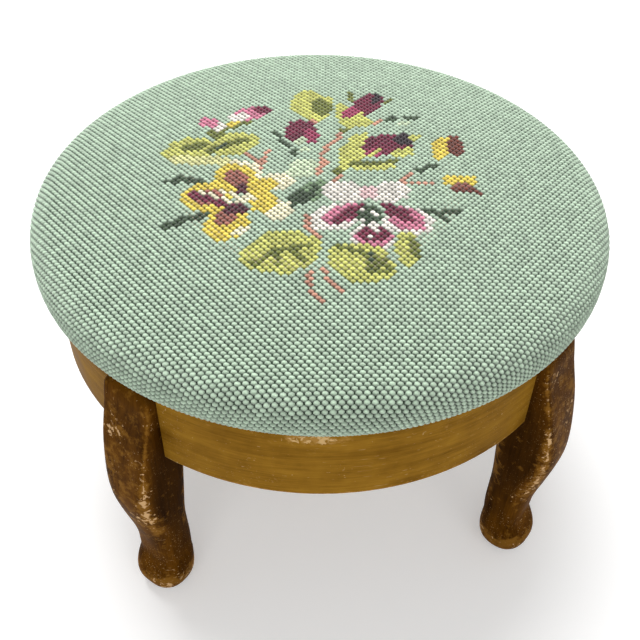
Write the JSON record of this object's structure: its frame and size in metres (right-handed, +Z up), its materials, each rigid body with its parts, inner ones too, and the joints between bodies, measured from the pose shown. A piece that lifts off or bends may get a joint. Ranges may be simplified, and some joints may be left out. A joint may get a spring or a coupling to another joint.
{
  "type": "upholstered footstool",
  "caption": "Low round footstool with a crowned needlepoint seat over a curved wooden apron on sawn cabriole legs with knob feet.",
  "frame": {"origin": "on the floor under the middle of the round seat", "axes": "+Z up, the front is towards -Y, +X to the right; the legs stand at 45 degrees to both axes"},
  "size_m": [0.33, 0.33, 0.22],
  "materials": {
    "needlepoint": "wool tent stitches, pale sea green with a floral spray, matt",
    "wadding": "unbleached cotton wadding, matt",
    "board": "bare softwood, matt",
    "tack_steel": "blued steel, dull",
    "screw_steel": "plain steel, dulled with age",
    "leg_wood": "brown stained and varnished, worn through on the edges",
    "rail_wood": "golden brown varnish, rubbed",
    "block_wood": "bare softwood, matt"
  },
  "bodies": {
    "root": {"needlepoint_cover": "needlepoint", "seat_padding": "wadding", "seat_board": "board", "cover_tacks": "tack_steel", "block_nails": "tack_steel", "seat_screws": "screw_steel", "leg_front_left": "leg_wood", "leg_front_right": "leg_wood", "leg_back_right": "leg_wood", "leg_back_left": "leg_wood", "apron_rail_front": "rail_wood", "apron_rail_right": "rail_wood", "apron_rail_back": "rail_wood", "apron_rail_left": "rail_wood", "corner_block_front_left": "block_wood", "corner_block_front_right": "block_wood", "corner_block_back_right": "block_wood", "corner_block_back_left": "block_wood"}
  },
  "joints": []
}
